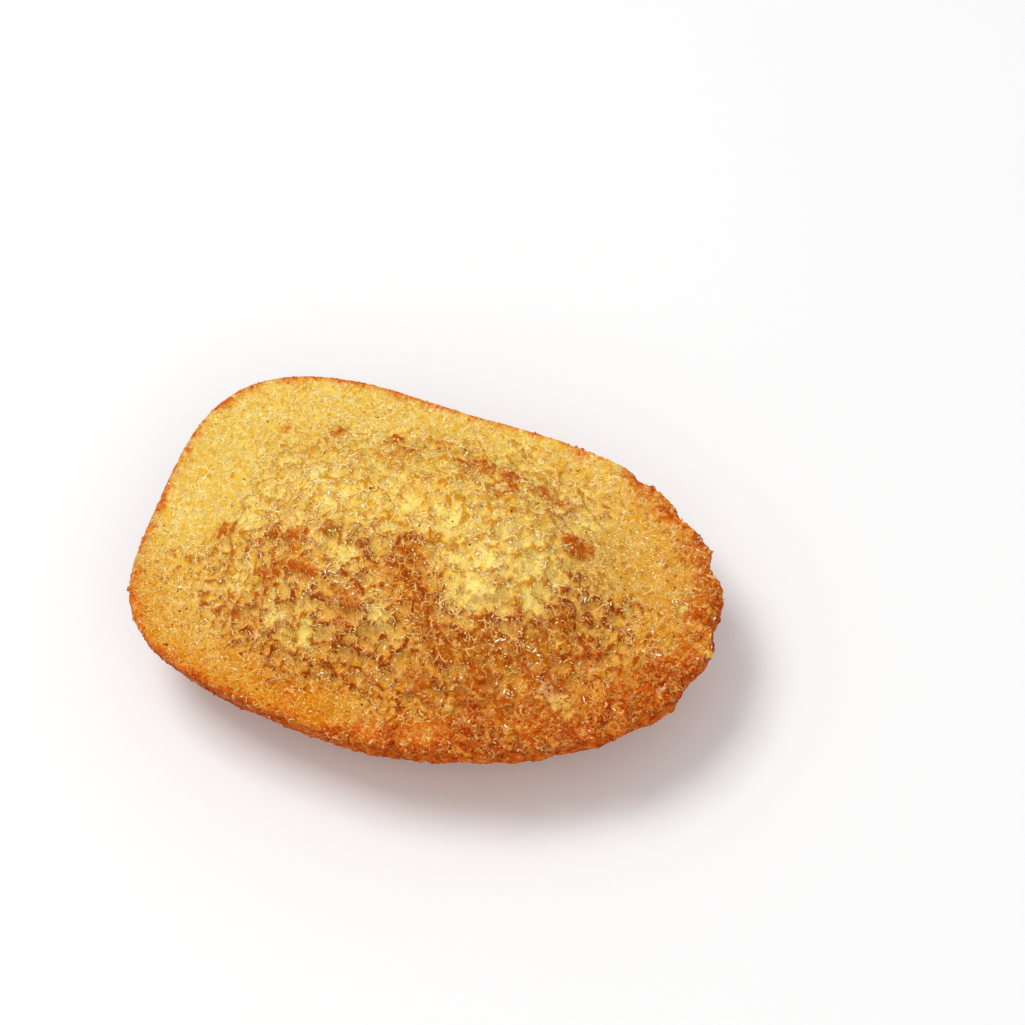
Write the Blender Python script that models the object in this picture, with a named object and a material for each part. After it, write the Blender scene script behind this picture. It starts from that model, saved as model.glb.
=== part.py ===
"""Madeleine: one small shell-shaped cake, baked in a fluted mould. Metres, +Z up.

The cake lies on its ribbed side with the hump up. +X runs from the blunt narrow end to the broad
scalloped end. The origin is under the middle of its box, on the surface that it rests on.

One grid makes the whole skin. Its columns follow the ribs and its rows cross them. The grid is
extruded into a slab, whose upper sheet becomes the crumb and whose lower sheet becomes the
fluted shell. The band between the two is the lip that the mould's edge leaves.
"""

import math

import bmesh
import bpy
from mathutils import Vector, noise

# Driving dimensions
LENGTH = 0.0770            # narrow end to the middle scallop
WIDTH = 0.0500             # widest, a little short of half way along
SHELL_DEPTH = 0.0145       # from the rim down to the ribs' crests
HUMP_HEIGHT = 0.0080       # of the hump's dome over the rim, without its lobes
RIBS = 9

# Plan of the rim
NARROW_REACH = 0.474 * LENGTH      # from the widest place to the narrow end
BROAD_REACH = LENGTH - NARROW_REACH
NARROW_BLUNTNESS = 3.6             # superellipse powers: 2 is round, more is squarer
BROAD_BLUNTNESS = 2.1
NARROW_CORNER = math.radians(33)   # where the end meets the side, off the -X direction
BROAD_CORNER = math.radians(54)    # where the scalloped edge starts, off the +X direction
SWAY = 0.0008                      # how far the outline is out of true, three times round
SIDE_SWAY = 0.35                   # of that, how far one side is out

# Shell
BOWL_ROUNDNESS = 2.7       # power of the bowl's floor: more is flatter
WALL_STEEPNESS = 1.75      # 2 would meet the rim upright
WALL_CROWDING = math.radians(62)   # how far the grid is drawn towards the steep wall
LIP_HEIGHT = 0.0007
RIB_HEIGHT = 0.0012        # crest to groove at the broad half
RIB_SHARPNESS = 0.75       # under 1 the crests are broad and the grooves narrow
RIBS_BEGIN = 0.08          # share of the way to the broad end, where the ribs start to rise
RIBS_FULL = 0.50
RIBS_FADE_ACROSS = 0.84    # share of the way to the sides, where the ribs start to fade
SCALLOP_DEPTH = 0.0011     # crest to notch along the broad end's rim
RIM_NARROWNESS = 8         # power of the nearness to the rim: more keeps its lip narrower
FOOT_CUT = 0.0006          # how much of the ribs' crests is flat, where the cake rests

# Crumb side
MARGIN_SAG = 0.0007        # how far the flat margin lies under the rim
HUMP_CENTRE = Vector((0.0015, 0.0000))
HUMP_REACH = Vector((0.0312, 0.0215))
UNEVENNESS = 0.0007        # of the hump's surface
UNEVEN_SCALE = 0.0060
LOBES_FULL = 0.4           # share of the dome's height from which the lobes have their full rise
UNEVEN_FULL = 0.3          # the same for the unevenness
# Lobes of the hump: place along and across, radius, rise or fall
LOBES = (
    (-0.0125, 0.0035, 0.0085, 0.0014),
    (0.0130, 0.0010, 0.0085, 0.0024),
    (0.0000, 0.0085, 0.0065, 0.0010),
    (-0.0060, -0.0115, 0.0070, 0.0010),
    (0.0035, -0.0050, 0.0036, -0.0016),
    (0.0075, -0.0100, 0.0036, -0.0015),
    (0.0140, -0.0120, 0.0040, -0.0014),
    (0.0205, -0.0075, 0.0036, -0.0013),
    (0.0225, 0.0000, 0.0034, -0.0012),
)

# Grid
COLUMNS_PER_RIB = 6
COLUMNS = RIBS * COLUMNS_PER_RIB
ROWS = 42
SLOPE_STEP = 0.01          # of across and along, for the bowl's tangents


def smooth_step(low, high, value):
    """Ease from 0 at low to 1 at high."""
    share = min(max((value - low) / (high - low), 0.0), 1.0)
    return share * share * (3 - 2 * share)


def rim_reach(angle):
    """Distance from the widest place to the rim: a superellipse for each half, plus the sway."""
    along, across = math.cos(angle), math.sin(angle)
    if along > 0:
        reach, power = BROAD_REACH, BROAD_BLUNTNESS
    else:
        reach, power = NARROW_REACH, NARROW_BLUNTNESS
    sum_of_powers = (abs(along) / reach) ** power + (abs(across) / (WIDTH / 2)) ** power
    sway = SIDE_SWAY * across + math.sin(3 * angle)
    return sum_of_powers ** (-1 / power) + SWAY * sway


def rim_point(angle):
    return rim_reach(angle) * Vector((math.cos(angle), math.sin(angle)))


def fan(across, along):
    """Plan place of a grid point. across runs -1 to 1 from side to side, along 0 to 1 to the
    broad end. The four stretches of the rim are blended, so that lines of equal across spread
    out like a fan's ribs.
    """
    side_angle = (math.pi - NARROW_CORNER) * (1 - along) + BROAD_CORNER * along
    share = (across + 1) / 2
    narrow_end = rim_point(math.pi - NARROW_CORNER * across)
    broad_end = rim_point(BROAD_CORNER * across)
    between_ends = narrow_end.lerp(broad_end, along)
    between_sides = rim_point(-side_angle).lerp(rim_point(side_angle), share)
    near_corners = rim_point(NARROW_CORNER - math.pi).lerp(rim_point(-BROAD_CORNER), along)
    far_corners = rim_point(math.pi - NARROW_CORNER).lerp(rim_point(BROAD_CORNER), along)
    return between_ends + between_sides - near_corners.lerp(far_corners, share)


def nearness_to_rim(place):
    """0 at the middle of the cake, 1 on the rim."""
    return min(place.length / rim_reach(math.atan2(place.y, place.x)), 1.0)


def rib(across, along):
    """Rise of the ribs: 1/2 on a crest and -1/2 in a groove, fading towards the narrow end and
    the sides.
    """
    wave = abs(math.cos(math.pi / 2 * RIBS * across)) ** RIB_SHARPNESS - 0.5
    fade_across = 1 - smooth_step(RIBS_FADE_ACROSS, 1.0, abs(across))
    return wave * smooth_step(RIBS_BEGIN, RIBS_FULL, along) * fade_across


def drawn_to_wall(place):
    """Plan place moved towards the rim as a sine does, so that rows and ribs are evenly spaced
    along the bowl's curve and not in plan.
    """
    nearness = max(nearness_to_rim(place), 1e-6)
    return place * math.sin(WALL_CROWDING * nearness) / (math.sin(WALL_CROWDING) * nearness)


def scalloped(place, across, along):
    """Plan place with the broad end's rim drawn in at each groove."""
    towards_rim = nearness_to_rim(place) ** RIM_NARROWNESS
    return place + place.normalized() * SCALLOP_DEPTH * rib(across, along) * towards_rim


def bowl(across, along):
    """The shell without its ribs, under the rim's level."""
    place = drawn_to_wall(fan(across, along))
    nearness = nearness_to_rim(place)
    depth = SHELL_DEPTH * (1 - nearness ** BOWL_ROUNDNESS) ** (1 / WALL_STEEPNESS)
    place = scalloped(place, across, along)
    return Vector((place.x, place.y, -depth))


def shell_point(across, along):
    """The fluted underside: the bowl pushed out along its normal by the ribs."""
    step = SLOPE_STEP
    inner_across = min(max(across, step - 1), 1 - step)
    inner_along = min(max(along, step), 1 - step)
    tangent_across = bowl(inner_across + step, inner_along) - bowl(inner_across - step, inner_along)
    tangent_along = bowl(inner_across, inner_along + step) - bowl(inner_across, inner_along - step)
    outward = tangent_across.cross(tangent_along).normalized()
    nearness = nearness_to_rim(drawn_to_wall(fan(across, along)))
    clear_of_rim = 1 - nearness ** RIM_NARROWNESS
    push = RIB_HEIGHT * (rib(across, along) - 0.5) * clear_of_rim
    point = bowl(across, along) + outward * push
    point.z = max(point.z - LIP_HEIGHT * (1 - clear_of_rim), FOOT_CUT - SHELL_DEPTH)
    return point


def hump(place):
    """Height of the baked hump: a dome with uneven lobes and a dip between them."""
    offset = place - HUMP_CENTRE
    reach = math.hypot(offset.x / HUMP_REACH.x, offset.y / HUMP_REACH.y)
    dome = smooth_step(0, 1, 1 - reach * reach)
    height = HUMP_HEIGHT * dome
    for lobe_x, lobe_y, radius, rise in LOBES:
        distance = (place - Vector((lobe_x, lobe_y))).length / radius
        height += rise * math.exp(-distance * distance) * smooth_step(0, LOBES_FULL, dome)
    lumps = noise.noise(Vector((place.x, place.y, 0)) / UNEVEN_SCALE)
    return height + UNEVENNESS * lumps * smooth_step(0, UNEVEN_FULL, dome)


def crumb_point(across, along):
    """The upper side: a shallow margin inside the rim, and the hump."""
    flat_place = fan(across, along)
    place = scalloped(flat_place, across, along)
    clear_of_rim = 1 - nearness_to_rim(flat_place) ** RIM_NARROWNESS
    return Vector((place.x, place.y, hump(place) - MARGIN_SAG * clear_of_rim))


def make_cake():
    """Shape the extruded grid into the cake's closed skin."""
    mesh = bmesh.new()
    bmesh.ops.create_grid(mesh, x_segments=COLUMNS, y_segments=ROWS, size=1)
    sheet = bmesh.ops.extrude_face_region(mesh, geom=mesh.faces[:])
    lower_sheet = [item for item in sheet["geom"] if isinstance(item, bmesh.types.BMVert)]
    bmesh.ops.translate(mesh, verts=lower_sheet, vec=(0, 0, -1))
    for vertex in mesh.verts:
        across, along = vertex.co.x, (vertex.co.y + 1) / 2
        if vertex.co.z < -0.5:
            vertex.co = shell_point(across, along)
        else:
            vertex.co = crumb_point(across, along)
    stand_on_origin(mesh)
    bmesh.ops.triangulate(mesh, faces=mesh.faces[:])
    bmesh.ops.recalc_face_normals(mesh, faces=mesh.faces[:])
    data = bpy.data.meshes.new("cake")
    mesh.to_mesh(data)
    mesh.free()
    data.shade_smooth()
    return bpy.data.objects.new("cake", data)


def stand_on_origin(mesh):
    """Put the middle of the box's underside at the origin."""
    spans = [[vertex.co[axis] for vertex in mesh.verts] for axis in range(3)]
    middle = [(min(span) + max(span)) / 2 for span in spans]
    bottom = min(spans[2])
    bmesh.ops.translate(mesh, verts=mesh.verts[:], vec=(-middle[0], -middle[1], -bottom))


def golden_crumb():
    """Plain golden-brown sponge."""
    material = bpy.data.materials.new("golden_crumb")
    material.use_nodes = True
    shader = material.node_tree.nodes["Principled BSDF"]
    shader.inputs["Base Color"].default_value = (0.72, 0.38, 0.09, 1)
    shader.inputs["Roughness"].default_value = 0.6
    shader.inputs["Metallic"].default_value = 0.0
    return material


def main():
    for old in list(bpy.data.objects):
        bpy.data.objects.remove(old)
    collection = bpy.data.collections.new("madeleine")
    bpy.context.scene.collection.children.link(collection)
    cake = make_cake()
    cake.data.materials.append(golden_crumb())
    collection.objects.link(cake)


main()
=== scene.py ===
"""Madeleine: the looks of one small shell-shaped cake, round its CAD body.

The cake's skin is two closed surfaces that meet along the rim: the crumb side with its broken-open
hump, and the fluted shell. Loose bits of crumb and crust, white flakes that are painted glints and
pale grains that are partly painted glints, are joined meshes on top of them.
"""

import math

import bmesh
import bpy
import numpy as np
from bpy.props import FloatProperty, FloatVectorProperty, IntProperty, PointerProperty
from mathutils import Matrix, Vector


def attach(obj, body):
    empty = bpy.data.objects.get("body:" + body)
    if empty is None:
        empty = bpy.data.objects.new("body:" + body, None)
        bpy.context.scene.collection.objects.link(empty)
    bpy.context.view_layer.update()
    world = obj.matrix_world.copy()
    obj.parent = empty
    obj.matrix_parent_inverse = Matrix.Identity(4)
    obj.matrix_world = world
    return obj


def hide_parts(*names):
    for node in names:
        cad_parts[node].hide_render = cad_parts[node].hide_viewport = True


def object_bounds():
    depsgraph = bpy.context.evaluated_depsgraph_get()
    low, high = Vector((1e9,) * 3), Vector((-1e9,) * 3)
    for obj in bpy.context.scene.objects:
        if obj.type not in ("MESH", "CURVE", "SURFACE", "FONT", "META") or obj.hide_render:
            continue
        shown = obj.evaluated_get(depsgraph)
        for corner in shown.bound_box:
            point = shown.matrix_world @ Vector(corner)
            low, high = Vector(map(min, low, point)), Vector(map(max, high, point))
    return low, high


bl_info = {
    "name": "Madeleine",
    "version": (1, 0, 0),
    "blender": (4, 5, 0),
    "location": "View3D > Sidebar > Madeleine",
    "description": "Builds a madeleine cake with open crumb, a browned rim and a fluted crust",
    "category": "Add Mesh",
}

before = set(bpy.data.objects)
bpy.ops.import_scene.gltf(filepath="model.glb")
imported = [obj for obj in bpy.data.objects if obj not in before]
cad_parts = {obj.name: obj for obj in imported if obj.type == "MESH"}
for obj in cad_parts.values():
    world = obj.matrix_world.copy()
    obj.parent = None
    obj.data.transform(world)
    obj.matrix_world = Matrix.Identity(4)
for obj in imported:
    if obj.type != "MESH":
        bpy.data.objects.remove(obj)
CAD_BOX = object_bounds()
MM = 0.001

# Places on the crumb side in millimetres, from the cake's widest place: along, across, radius,
# and for a lobe its rise
LOBES = (
    (-12.5, 3.5, 8.5, 1.4), (13.0, 1.0, 8.5, 2.4), (0.0, 8.5, 6.5, 1.0), (-6.0, -11.5, 7.0, 1.0),
    (3.5, -5.0, 3.6, -1.6), (7.5, -10.0, 3.6, -1.5), (14.0, -12.0, 4.0, -1.4),
    (20.5, -7.5, 3.6, -1.3), (22.5, 0.0, 3.4, -1.2),
)
TOASTED = (
    (-25.0, 14.8, 1.0), (-18.0, 16.6, 1.2), (-9.5, 17.0, 1.8), (-3.0, 17.0, 2.2),
    (-6.0, 13.0, 2.0), (3.5, 15.0, 3.0), (9.0, 13.0, 3.2), (14.0, 13.6, 3.0), (20.5, 7.5, 2.4),
    (-25.0, -2.8, 2.0), (-15.4, -8.8, 2.6), (-12.8, -4.2, 2.2), (-10.0, -7.6, 2.4),
    (-3.5, -11.0, 2.8), (8.6, -16.2, 2.6), (15.9, -14.1, 3.2), (22.5, -10.4, 3.0),
    (27.0, -5.5, 2.4),
)
PALE = (
    (12.5, 0.0, 4.5), (17.0, 1.0, 3.2), (15.5, -4.5, 2.0), (-21.0, 3.1, 2.6), (-16.0, 6.1, 2.6),
    (-9.2, 2.8, 2.8), (-1.8, 4.4, 3.0), (6.6, 4.3, 3.0), (21.5, 12.0, 3.5), (26.0, -12.8, 1.5),
    (1.5, -11.5, 2.2), (-8.5, -15.0, 2.6), (11.5, -4.5, 2.8), (8.0, -0.5, 2.2), (18.0, -3.0, 2.2),
    (-19.5, -9.5, 1.8), (-6.0, -5.0, 1.6), (-12.5, -13.0, 1.6), (-22.5, -1.0, 1.6),
)
HOLLOWS = (
    (4.0, -4.8, 1.6), (6.4, -9.0, 1.8), (10.5, -12.4, 2.0), (15.5, -12.4, 1.6), (20.4, 6.6, 1.8),
    (-4.8, 9.3, 1.5), (22.5, -1.5, 1.6), (-16.5, -3.5, 1.3), (-9.0, -2.0, 1.2),
)
# Places where white flakes stand for glints: painted highlight.
GLINT_FLAKE_PLACES = (
    (-17.7, 1.1, 1.6), (-14.5, 5.0, 2.6), (-9.5, 3.0, 3.0), (-12.0, 9.0, 2.6), (-4.0, -8.0, 2.5),
    (12.0, 3.0, 3.5), (20.0, -9.0, 3.0), (-16.0, -6.0, 2.5),
)
WHOLE = ((27.5, 11.5, 8.0), (-33.0, 4.0, 6.0))
# The valley is cut low and also painted darker: partly painted shadow of the right lobe.
CRESCENT = (12.5, 0.8, 11.0, 2.6)   # valley round the right lobe: centre, radius, half width


def length_property(name, description, default):
    return FloatProperty(name=name, description=description, default=default, unit="LENGTH")


def angle_property(name, description, degrees):
    return FloatProperty(name=name, description=description, default=math.radians(degrees),
                         subtype="ANGLE")


def colour_property(name, description, default):
    return FloatVectorProperty(name=name, description=description, subtype="COLOR", size=4,
                               default=(*default, 1), min=0, max=1)


class CakeShape(bpy.types.PropertyGroup):
    """Sizes of the cake and of its grid."""
    length: length_property("Length", "Narrow end to broad end", 0.0770)
    width: length_property("Width", "Across the widest place", 0.0500)
    shell_depth: length_property("Shell depth", "Rim to ribs", 0.0145)
    hump_height: length_property("Hump height", "Dome over the rim", 0.0080)
    ribs: IntProperty(name="Ribs", description="Ribs across the shell", default=9, min=3)
    rib_height: length_property("Rib height", "Crest to groove", 0.0012)
    scallop_depth: length_property("Scallop depth", "Crest to notch along the rim", 0.0011)
    lip_height: length_property("Lip height", "Rounded edge of the rim", 0.0007)
    columns: IntProperty(name="Columns", description="Grid cells across", default=248, min=20)
    rows: IntProperty(name="Rows", description="Grid cells along", default=384, min=20)


class CakeColours(bpy.types.PropertyGroup):
    """Colours of crumb and crust."""
    crumb: colour_property("Crumb", "Moist golden crumb", (0.73, 0.452, 0.060))
    honey: colour_property("Honey", "See-through yellow lumps", (0.72, 0.37, 0.015))
    # Baked crumb is where the warmth mask takes the crumb: partly browning, partly painted shade on
    # the side turned from the light, the hump's lower flank and the valley.
    baked_crumb: colour_property("Baked crumb", "Crumb of the hotter side", (0.58, 0.186, 0.0036))
    pale_crumb: colour_property("Pale crumb", "Dry torn crumb", (0.92, 0.70, 0.155))
    # Amber is the own colour of smooth hollows, and painted shade where it goes into crevices,
    # pores and low places of the relief.
    amber: colour_property("Amber", "Smooth hollows in the crumb", (0.40, 0.085, 0.0011))
    toast: colour_property("Toast", "Browned crust", (0.56, 0.075, 0.0018))
    dark_toast: colour_property("Dark toast", "Well browned crust", (0.30, 0.024, 0.001))
    # Glint and crisp glint paint thin walls, dots, strokes and ridges paler: partly their own pale
    # colour, partly painted highlight.
    glint: colour_property("Glint", "Thin dry walls of bubbles", (0.98, 0.84, 0.38))
    crisp_glint: colour_property("Crisp glint", "The same on browned crust", (0.92, 0.45, 0.060))
    flake: colour_property("Flake", "Dry pinkish flakes of the crisp rim", (0.86, 0.50, 0.24))
    # Sparkle is the white of flakes that are painted glints.
    sparkle: colour_property("Sparkle", "Dry white flakes", (1.0, 0.94, 0.74))


class StageSettings(bpy.types.PropertyGroup):
    """Floor and camera."""
    floor: colour_property("Floor", "Pale floor", (0.80, 0.80, 0.80))
    azimuth: angle_property("Azimuth", "Of the view, round from -Y", 33.5)
    elevation: angle_property("Elevation", "Of the view over the rim's plane", 56.5)
    roll: angle_property("Roll", "Of the camera", 13.04)
    distance: length_property("Distance", "Camera to cake", 0.3643)
    aside: FloatVectorProperty(
        name="Aside", description="Camera moved right and up off the cake", size=2,
        default=(0.01141, 0.00736), unit="LENGTH")
    lens: FloatProperty(name="Lens", description="Focal length in millimetres", default=100.0)


# ---------------------------------------------------------------- shape of the cake

NARROW_SHARE = 0.474              # of the length, from the narrow end to the widest place
NARROW_BLUNTNESS = 3.6
BROAD_BLUNTNESS = 2.1
NARROW_CORNER = math.radians(33)
BROAD_CORNER = math.radians(54)
SWAY = 0.8 * MM
SIDE_SWAY = 0.35                  # of the sway, how far one side is out
BOWL_ROUNDNESS = 2.7
WALL_STEEPNESS = 1.75
WALL_CROWDING = math.radians(62)
RIB_SHARPNESS = 0.75
RIBS_GROW = (0.08, 0.50)          # shares of the way to the broad end where they begin and are full
RIBS_FADE_ACROSS = 0.84
RIM_NARROWNESS = 8
FOOT_CUT = 0.6 * MM
MARGIN_SAG = 0.7 * MM
HUMP_CENTRE = (1.5 * MM, 0.0)
HUMP_REACH = (31.2 * MM, 21.5 * MM)
LOBES_FULL = 0.4                  # share of the dome's height from which the lobes are full
OPEN_CENTRE = (1.5 * MM, 0.2 * MM)
OPEN_REACH = (32.5 * MM, 21.5 * MM)
OPEN_SQUARENESS = 3.4
CRISP_SIDE = math.radians(-31)    # where round the rim its browned band is broadest
RAGGED_SIDE = math.radians(-30)   # where its edge is most broken
NEAR_SIDE = math.radians(-125)    # where its margin is warmest
HIDDEN_DEPTH = -11.0 * MM         # where the hidden faces of both skins meet, under the hump
EDGE_CROWDING = math.radians(63)  # how far the grid is drawn towards its edges
LATTICE = 64                      # cells of noise before it repeats
MASKS = ("browning", "warmth_and_shade", "hollow", "ridge", "crevice", "pale", "tone", "torn", "dry")


def smooth_step(low, high, value):
    """Ease from 0 at low to 1 at high: 3s^2 - 2s^3 of the share s of the way."""
    share = np.clip((value - low) / (high - low), 0.0, 1.0)
    return share * share * (3 - 2 * share)


def mix(a, b, share):
    """From a to b by a share: a + (b - a) share."""
    return a + (b - a) * share


def unit(vectors):
    """Vectors over their own length."""
    return vectors / np.maximum(np.linalg.norm(vectors, axis=-1, keepdims=True), 1e-15)


def flat_distance(place, x, y):
    """Distance in plan to a place given in millimetres."""
    return np.hypot(place[..., 0] - x * MM, place[..., 1] - y * MM)


def rim_reach(cake, angle):
    """Widest place to rim: (|cos a / reach|^n + |sin a / half width|^n)^(-1/n) for each half,
    plus a small sway of sin 3a and sin a.
    """
    along, across = np.cos(angle), np.sin(angle)
    narrow, broad = NARROW_SHARE * cake.length, (1 - NARROW_SHARE) * cake.length
    reach = np.where(along > 0, broad, narrow)
    power = np.where(along > 0, BROAD_BLUNTNESS, NARROW_BLUNTNESS)
    total = (np.abs(along) / reach) ** power + (np.abs(across) / (cake.width / 2)) ** power
    return total ** (-1 / power) + SWAY * (SIDE_SWAY * across + np.sin(3 * angle))


def rim_point(cake, angle):
    """Plan place on the rim: its reach times (cos a, sin a)."""
    return rim_reach(cake, angle)[..., None] * np.stack([np.cos(angle), np.sin(angle)], -1)


def fan(cake, across, along):
    """Plan place at across -1 to 1 and along 0 to 1: the four stretches of the rim, blended, less
    the blend of their corners.
    """
    share, along_share = ((across + 1) / 2)[..., None], along[..., None]
    side_angle = mix(math.pi - NARROW_CORNER, BROAD_CORNER, along)
    ends = mix(rim_point(cake, math.pi - NARROW_CORNER * across),
               rim_point(cake, BROAD_CORNER * across), along_share)
    sides = mix(rim_point(cake, -side_angle), rim_point(cake, side_angle), share)
    narrow, broad = np.array(math.pi - NARROW_CORNER), np.array(BROAD_CORNER)
    near = mix(rim_point(cake, -narrow), rim_point(cake, -broad), along_share)
    far = mix(rim_point(cake, narrow), rim_point(cake, broad), along_share)
    return ends + sides - mix(near, far, share)


def nearness_to_rim(cake, place):
    """0 at the widest place's middle, 1 on the rim. Also the place's angle round the cake."""
    angle = np.arctan2(place[..., 1], place[..., 0])
    reach = np.hypot(place[..., 0], place[..., 1]) / rim_reach(cake, angle)
    return np.clip(reach, 1e-6, 1.0), angle


def rib(cake, across, along):
    """Rise of the ribs, 1/2 on a crest: |cos(pi/2 ribs across)|^0.75 - 1/2, faded out towards the
    narrow end and the sides.
    """
    wave = np.abs(np.cos(math.pi / 2 * cake.ribs * across)) ** RIB_SHARPNESS - 0.5
    fade_across = 1 - smooth_step(RIBS_FADE_ACROSS, 1.0, np.abs(across))
    return wave * smooth_step(*RIBS_GROW, along) * fade_across


def scalloped(cake, place, across, along):
    """Plan place pushed out or in along its radius by the ribs, near the rim only."""
    nearness, _ = nearness_to_rim(cake, place)
    radius = np.maximum(np.linalg.norm(place, axis=-1), 1e-9)
    push = cake.scallop_depth * rib(cake, across, along) * nearness ** RIM_NARROWNESS
    return place * (1 + push / radius)[..., None]


def grid(cake):
    """Grid parameters: sines of evenly spaced angles, so that cells are finer at the rim."""
    def crowded(cells):
        return np.sin(np.linspace(-1, 1, cells + 1) * EDGE_CROWDING) / math.sin(EDGE_CROWDING)
    along, across = np.meshgrid((crowded(cake.rows) + 1) / 2, crowded(cake.columns), indexing="ij")
    return across, along


def normals_of(points, flip=1):
    """Unit normals of a grid of points: the cross product of its two directions."""
    return unit(flip * np.cross(np.gradient(points, axis=1), np.gradient(points, axis=0)))


def turned_outwards(normal, angle, share):
    """Normals turned by a share towards the rim's own plan direction."""
    outward = np.dstack([np.cos(angle), np.sin(angle), np.zeros_like(angle)])
    return unit(mix(normal, outward, share[..., None]))


def sunk_under(relief, reach, times=2):
    """How far a place lies under its surroundings: the mean over squares of 2 reach + 1 grid
    cells, taken twice from running sums, less the relief.
    """
    field, width = relief, 2 * reach + 1
    for axis in (0, 1) * times:
        pad = [(reach + 1, reach) if a == axis else (0, 0) for a in (0, 1)]
        total = np.cumsum(np.pad(field, pad, mode="edge"), axis=axis)
        high = np.take(total, np.arange(width, total.shape[axis]), axis=axis)
        low = np.take(total, np.arange(0, total.shape[axis] - width), axis=axis)
        field = (high - low) / width
    return field - relief


# ---------------------------------------------------------------- noise

def soft_noise(points, cell, seed):
    """Values -1 to 1 on a cubic lattice of the given cell, eased between its corners."""
    values = np.random.default_rng(seed).uniform(-1, 1, (LATTICE,) * 3)
    scaled = points / cell
    corner = np.floor(scaled).astype(int)
    share = smooth_step(0, 1, scaled - corner)
    total = 0
    for offset in np.ndindex(2, 2, 2):
        index = (corner + offset) % LATTICE
        weight = np.prod(np.where(np.array(offset) == 1, share, 1 - share), axis=-1)
        total = total + values[index[..., 0], index[..., 1], index[..., 2]] * weight
    return total


def layered_noise(points, cell, seed, layers=3):
    """Sum of soft noises, each at half the cell and half the height of the last."""
    return sum(soft_noise(points, cell / 2 ** layer, seed + layer) / 2 ** layer
               for layer in range(layers))


def cells(points, cell, seed):
    """Scattered seeds, one in each lattice cell: distance to the nearest and to the next, in
    cells, and the nearest seed's own random number.
    """
    draw = np.random.default_rng(seed)
    jitter = draw.random((LATTICE, LATTICE, LATTICE, 3))
    own = draw.random((LATTICE,) * 3)
    scaled = points / cell
    corner = np.floor(scaled).astype(int)
    nearest = np.full(points.shape[:-1], np.inf)
    second, number = nearest.copy(), np.zeros(points.shape[:-1])
    for offset in np.ndindex(3, 3, 3):
        at = corner + np.array(offset) - 1
        key = tuple(np.moveaxis(at % LATTICE, -1, 0))
        distance = np.linalg.norm(at + jitter[key] - scaled, axis=-1)
        closer = distance < nearest
        second = np.where(closer, nearest, np.minimum(second, distance))
        number = np.where(closer, own[key], number)
        nearest = np.minimum(nearest, distance)
    return nearest, second, number


def warped(points, cell, amount, seed):
    """Points moved about by soft noise, so that cells lose their even look."""
    shifts = [soft_noise(points, cell, seed + axis) for axis in range(points.shape[-1])]
    return points + amount * np.stack(shifts, -1)


def lumps(points, cell, seed):
    """Rounded lumps with narrow crevices: (1 - d^2) of the nearest seed's distance d, cut down
    where the next seed is as near. Also the lump's own random number.
    """
    nearest, second, number = cells(warped(points, cell * 1.3, cell * 0.4, seed), cell, seed + 7)
    crevice = smooth_step(0.0, 0.30, second - nearest)
    return (1 - np.minimum(nearest, 1) ** 2) * (0.35 + 0.65 * crevice), number


def bubbles(points, cell, seed):
    """Burst bubbles: bowls of depth (1 - (d / r)^2), with a radius r of 0.25 to 0.65 of a cell
    that each draws for itself, and thin walls left between them.
    """
    nearest, _, number = cells(warped(points, cell * 1.1, cell * 0.35, seed), cell, seed + 7)
    return np.clip(1 - (nearest / (0.25 + 0.40 * number)) ** 2, 0, 1)


def pores(points, cell, seed, wide, narrow, rarity):
    """Open pores: 1 within narrow of a seed, 0 past wide, at the rarer seeds only."""
    nearest, _, number = cells(points, cell, seed)
    return smooth_step(wide, narrow, nearest) * (number > rarity)


def near_places(place, places):
    """1 at the middle of a listed place, falling off as exp(-d^2) with its radius."""
    return np.max([np.exp(-(flat_distance(place, x, y) / (radius * MM)) ** 2)
                   for x, y, radius in places], axis=0)


# ---------------------------------------------------------------- the skins

# Torn crumb: lumps with their cell, height, seed, share of the tone, and least rise, gain with
# their own number and middle; bubbles with their cell, depth and seed
TORN_LUMPS = ((5.5, 0.90, 41, 0.40, 1.0, 0.0, 0.5),
              (2.6, 0.90, 51, 0.38, 0.4, 0.9, 0.4),
              (1.3, 0.42, 61, 0.22, 0.5, 0.8, 0.4))
TORN_BUBBLES = ((1.7, 0.26, 71), (0.8, 0.12, 73))
HOLLOW_DEPTH = 1.2 * MM
VALLEY_DEPTH = 1.1 * MM


def hump_dome(place):
    """Share of the hump's height: an eased dome, 3s^2 - 2s^3 of s = 1 - r^2."""
    offset = (place - np.array(HUMP_CENTRE)) / np.array(HUMP_REACH)
    return smooth_step(0, 1, 1 - (offset ** 2).sum(-1))


def upper_height(cake, place, nearness):
    """The sagging margin plus the hump, with its lobes' rises and falls as exp(-d^2)."""
    dome = hump_dome(place)
    height = cake.hump_height * dome - MARGIN_SAG * (1 - nearness ** RIM_NARROWNESS)
    for x, y, radius, rise in LOBES:
        lobe = np.exp(-(flat_distance(place, x, y) / (radius * MM)) ** 2)
        height = height + rise * MM * lobe * smooth_step(0, LOBES_FULL, dome)
    return height


def ragged_rim(place, nearness, angle):
    """How far the rim's broken edge stands out: noise along the rim, most where it is crisp. It
    depends on the plan place only, so that both skins meet.
    """
    points = np.dstack([place, np.zeros_like(angle)])
    crisp = 0.25 + 0.75 * smooth_step(-0.2, 0.9, np.cos(angle - RAGGED_SIDE))
    rough = 0.30 * MM * layered_noise(points, 2.2 * MM, 301, 3)
    rough = rough + 0.22 * MM * layered_noise(points, 0.8 * MM, 311, 2)
    return crisp * rough * nearness ** 24


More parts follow.
